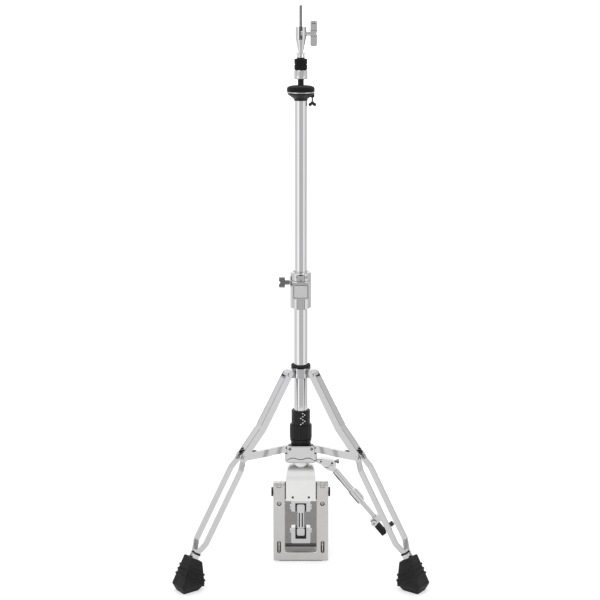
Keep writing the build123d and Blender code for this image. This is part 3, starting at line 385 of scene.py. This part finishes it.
def bar_clip(side, body, azimuth, inner):
    """Black clip around the inner bar of a leg just above the foot."""
    width, height, corner, length, bevel = 8.5, 4.0, 1.2, 13.6, 0.3
    below_knee, off_middle = 209.0, 5.4
    knee_out, knee_height = LEG_PATH[-1]
    outward, sideways = leg_directions(azimuth)
    down = outward * BAR_OUT + Vector((0, 0, BAR_UP))
    knee = outward * knee_out + Vector((0, 0, knee_height))
    bm = bmesh.new()
    add_slab(bm, rounded(width, height, corner), knee + down * below_knee + sideways * inner * off_middle,
             sideways, down, length)
    finish_mesh(side + "_bar_clip", bm, body, RUBBER, bevel)


def painted_edge_reflections(side, body, azimuth):
    """Painted dark reflections: thin dark strips along both folded edges of a leg channel's outer face,
    standing in for the dark surroundings that the rolled edges reflect.
    """
    width, corner, steps, thickness = 0.9, 0.3, 3, 0.3
    face_height, from_middle, end_gap = 8.0, 7.9, 8.0
    outward, sideways = leg_directions(azimuth)
    bm = bmesh.new()
    for (r0, z0), (r1, z1) in zip(LEG_PATH, LEG_PATH[1:]):
        start, end = outward * r0 + Vector((0, 0, z0)), outward * r1 + Vector((0, 0, z1))
        along = (end - start).normalized()
        face = sideways.cross(along)
        if face.z < 0:
            face = -face
        outline = rounded((end - start).length - end_gap, width, corner, steps)
        for edge in (-from_middle, from_middle):
            add_slab(bm, outline, (start + end) / 2 + face * face_height + sideways * edge,
                     along, sideways, thickness)
    finish_mesh(side + "_painted_edge_reflections", bm, body, BOLT_STEEL)


def hub_seal():
    """Thick black rubber ring around the top of the sliding hub's bushing."""
    turns, bevel = 64, 0.3
    profile = ((14.9, 412.2), (19.0, 412.2), (20.0, 413.4), (20.0, 415.6), (19.0, 416.8), (15.6, 416.8),
               (14.9, 415.8))
    bm = bmesh.new()
    rings = []
    for turn in range(turns):
        angle = 2 * pi * turn / turns
        rings.append([bm.verts.new((r * cos(angle) * MM, r * sin(angle) * MM, z * MM)) for r, z in profile])
    join_rings(bm, rings + rings[:1])
    finish_mesh("hub_seal", bm, "slide_hub", RUBBER, bevel)


# ---- pedal, neck and drive ------------------------------------------------------------------------------
def fork_liners_and_painted_shade():
    """Black nylon liners between each fork and the drive link: two cheeks, and a pad over the fork's root.
    They are partly painted shade, darkening the gaps round the link's heads.
    """
    cheek_x, cheek_width, pad_width, pad_height = 9.8, 3.2, 17.0, 2.8
    corner, depth, bevel = 0.5, 14.4, 0.4
    for name, body, low, high, pad in (("rod_fork_liners", "pull", 101.5, 119.3, 117.9),
                                       ("toe_fork_liners", "footboard", 41.2, 65.0, 43.0)):
        bm = bmesh.new()
        for side in (-1, 1):
            add_slab(bm, rounded(cheek_width, high - low, corner), (side * cheek_x, 0, (low + high) / 2),
                     ACROSS, UP, depth)
        add_slab(bm, rounded(pad_width, pad_height, corner), (0, 0, pad), ACROSS, UP, depth)
        finish_mesh(name, bm, body, NYLON, bevel)


def recess_painted_shade():
    """Painted shade: black slabs in the bottoms of the pedal frame's spur slots and screw recesses, standing
    in for the shade inside them.
    """
    slot_outline, slot_place, slot_depth = rounded(7.6, 26.8, 3.7), (45.0, -21.6, 32.0), 0.8
    screw_outline, screw_place, screw_depth = rounded(9.0, 9.0, 4.49, 8), (44.3, -27.5, 127.0), 0.6
    bm = bmesh.new()
    for side in (-1, 1):
        for outline, (x, y, z), depth in ((slot_outline, slot_place, slot_depth),
                                          (screw_outline, screw_place, screw_depth)):
            add_slab(bm, outline, (side * x, y, z), ACROSS, UP, depth)
    finish_mesh("recess_painted_shade", bm, "pedal", ENAMEL)


def neck_hole_painted_shade():
    """Painted shade: black patches in the bottoms of the two blind holes in the neck's front, standing in for
    the shade inside them.
    """
    front_strips("neck_hole_painted_shade", "column", [(-16.4, 141, 5.0, 5.0), (16.4, 141, 5.0, 5.0)], -29.8)


def neck_liners():
    """Black friction liners between the neck's sides and the pedal frame's arms."""
    outline, (x, y, z), thickness, bevel = rounded(15.0, 37.0, 5.0), (31.4, -20.0, 152.5), 1.5, 0.2
    bm = bmesh.new()
    for side in (-1, 1):
        add_slab(bm, outline, (side * x, y, z), (0, 1, 0), UP, thickness)
    finish_mesh("neck_liners", bm, "column", NYLON, bevel)


def link_groove_painted_shade():
    """Painted shade: black strips on the floors of the two grooves down the drive link's front, standing in
    for the shade inside them.
    """
    front_strips("link_groove_shade_strips", "link", [(-3.1, 81.5, 2.5, 31.6), (3.1, 81.5, 2.5, 31.6)], -3.6)


# ---- column and clutch ----------------------------------------------------------------------------------
def setting_marks():
    """Generic zigzag of small raised marks on the front of the spring housing."""
    housing_r, first_z, pitch, bevel = 19.0, 294, 3.3, 0.15
    bm = bmesh.new()
    for step, x in enumerate((0.0, 4.0, 8.0, 4.0, 0.0, 4.0, 8.0, 4.0)):
        y = -(housing_r ** 2 - x ** 2) ** 0.5
        add_slab(bm, rounded(3.2, 2.0, 0.8, 3), (x, y, first_z + pitch * step), (-y, x, 0), UP, 0.6)
    finish_mesh("setting_marks", bm, "column", PLATE, bevel)


def collar_plate():
    """Plain plate on the height collar's pad, with a thin black rim."""
    thickness, height = 0.8, 572.5
    for name, outline, y, slot, material, bevel in (
            ("collar_plate_rim", rounded(28.0, 26.0, 3.0), -25.3, "black_paint", ENAMEL, 0.2),
            ("collar_plate", rounded(26.4, 24.4, 2.4), -25.7, "satin_frame", PLATE, 0.3)):
        bm = bmesh.new()
        add_slab(bm, outline, (0, y, height), ACROSS, UP, thickness)
        finish_mesh(name, bm, "column", material, bevel)


def wing_marks():
    """Dark steel lines across the clutch's wing."""
    front_strips("wing_marks", "clutch_wing", [(24.8, 1094.5, 7.0, 2.4), (24.8, 1081.6, 12.6, 1.1),
                                               (24.8, 1070.4, 12.6, 0.9)], -3.75, BOLT_STEEL)


def bracket_marks():
    """Two dark pin ends and two edge lines on the arm's bracket."""
    front_strips("bracket_marks", "leg_base", [(41.2, 215, 3.8, 3.8), (64.0, 211.5, 4.4, 4.4),
                                               (38.0, 219.4, 12, 1.0), (53.0, 202.2, 9, 1.2)], -19.95)


def collar_lines():
    """Dark lines beside the height collar's lower front and along its top edge."""
    front_strips("collar_lines", "column", [(-8.0, 546, 0.8, 20), (8.0, 546, 0.8, 20), (0, 592.1, 16, 0.8)],
                 -24.1)


def lock_lines():
    """Dark lines beside the memory lock's front and a short bar near its top."""
    front_strips("lock_lines", "memory_lock", [(-8.0, 600.5, 0.8, 13), (8.0, 600.5, 0.8, 13),
                                               (0, 606, 9, 2.2)], -25.4)


for side, azimuth, inner in LEGS:
    foot_ribs(side, side + "_leg")
    bar_clip(side, side + "_leg", azimuth, inner)
    painted_edge_reflections(side, side + "_leg", azimuth)
for make_piece in (hub_seal, fork_liners_and_painted_shade, setting_marks, collar_plate, recess_painted_shade, neck_hole_painted_shade,
                   neck_liners, link_groove_painted_shade, wing_marks, bracket_marks, collar_lines, lock_lines):
    make_piece()


# ---- studio ---------------------------------------------------------------------------------------------
def floor():
    """Round white floor with a faint glow of its own."""
    grey, glow, radius = 0.55, 0.42, 1.05
    mesh = bpy.data.meshes.new("floor")
    bm = bmesh.new()
    bmesh.ops.create_circle(bm, cap_ends=True, segments=96, radius=radius)
    bm.to_mesh(mesh)
    bm.free()
    disc = bpy.data.objects.new("floor", mesh)
    bpy.context.scene.collection.objects.link(disc)
    m = Shader("floor_white", Roughness=0.9, Emission_Strength=glow)
    m.bsdf.inputs["Base Color"].default_value = (grey, grey, grey, 1)
    m.bsdf.inputs["Emission Color"].default_value = (1, 1, 1, 1)
    mesh.materials.append(m.material)


# Brightness of the studio's wall round the stand: (degrees from the camera's side, level).
WALL_LEVELS = ((-180, 1.5), (-112, 1.1), (-85, 0.93), (-62, 1.3), (-42, 1.7), (-24, 0.84), (-5, 0.69),
               (13, 0.81), (31, 0.63), (50, 1.42), (71, 1.17), (95, 0.78), (128, 0.96), (180, 1.5))
WALL_STRENGTH = 1.1


def world():
    """White studio with a greyer side towards the camera and two bright strips beside it."""
    w = bpy.data.worlds.new("studio")
    bpy.context.scene.world = w
    w.use_nodes = True
    tree = w.node_tree
    background = tree.nodes["Background"]
    coords = tree.nodes.new("ShaderNodeTexCoord")
    axes = tree.nodes.new("ShaderNodeSeparateXYZ")
    tree.links.new(coords.outputs["Generated"], axes.inputs["Vector"])
    angle = tree.nodes.new("ShaderNodeMath")
    angle.operation = "ARCTAN2"
    back = tree.nodes.new("ShaderNodeMath")
    back.operation = "MULTIPLY"
    back.inputs[1].default_value = -1.0
    tree.links.new(axes.outputs["Y"], back.inputs[0])
    tree.links.new(axes.outputs["X"], angle.inputs[0])
    tree.links.new(back.outputs[0], angle.inputs[1])
    place = tree.nodes.new("ShaderNodeMapRange")
    place.inputs["From Min"].default_value = -pi
    place.inputs["From Max"].default_value = pi
    tree.links.new(angle.outputs[0], place.inputs["Value"])
    ramp = tree.nodes.new("ShaderNodeValToRGB")
    while len(ramp.color_ramp.elements) < len(WALL_LEVELS):
        ramp.color_ramp.elements.new(0.5)
    for element, (degree, level) in zip(ramp.color_ramp.elements, WALL_LEVELS):
        element.position = (degree + 180) / 360
        element.color = (level, level, level * 1.01, 1)
    tree.links.new(place.outputs["Result"], ramp.inputs["Fac"])
    tree.links.new(ramp.outputs["Color"], background.inputs["Color"])
    background.inputs["Strength"].default_value = WALL_STRENGTH


def area(name, place, target, size, power):
    """Rectangular lamp at a place, turned to its target."""
    data = bpy.data.lights.new(name, "AREA")
    data.shape = "RECTANGLE"
    data.size, data.size_y = size
    data.energy = power
    lamp = bpy.data.objects.new(name, data)
    bpy.context.scene.collection.objects.link(lamp)
    lamp.location = place
    lamp.rotation_euler = (Vector(target) - Vector(place)).to_track_quat("-Z", "Y").to_euler()


def camera():
    """Camera in front of the stand, a little higher than its top and tilted down."""
    place, tilt, lens, sensor = (0, -2.789, 1.209), 13.3, 85.8, 36.0
    shift_share = -1 / 750                     # of the picture's width
    data = bpy.data.cameras.new("camera")
    data.sensor_width = sensor
    data.lens = lens
    data.shift_x = shift_share
    data.clip_end = 60
    cam = bpy.data.objects.new("camera", data)
    bpy.context.scene.collection.objects.link(cam)
    cam.location = place
    cam.rotation_euler = (radians(90 - tilt), 0, 0)
    bpy.context.scene.camera = cam


floor()
world()
area("key", (-1.6, -2.2, 2.4), (0, 0, 0.5), (1.2, 1.6), 14)
area("fill", (1.9, -1.8, 1.8), (0, 0, 0.4), (1.0, 1.6), 8)
area("top", (0, 0.4, 3.2), (0, 0, 0), (2.4, 2.4), 16)
camera()
bpy.context.scene.view_settings.view_transform = "Standard"
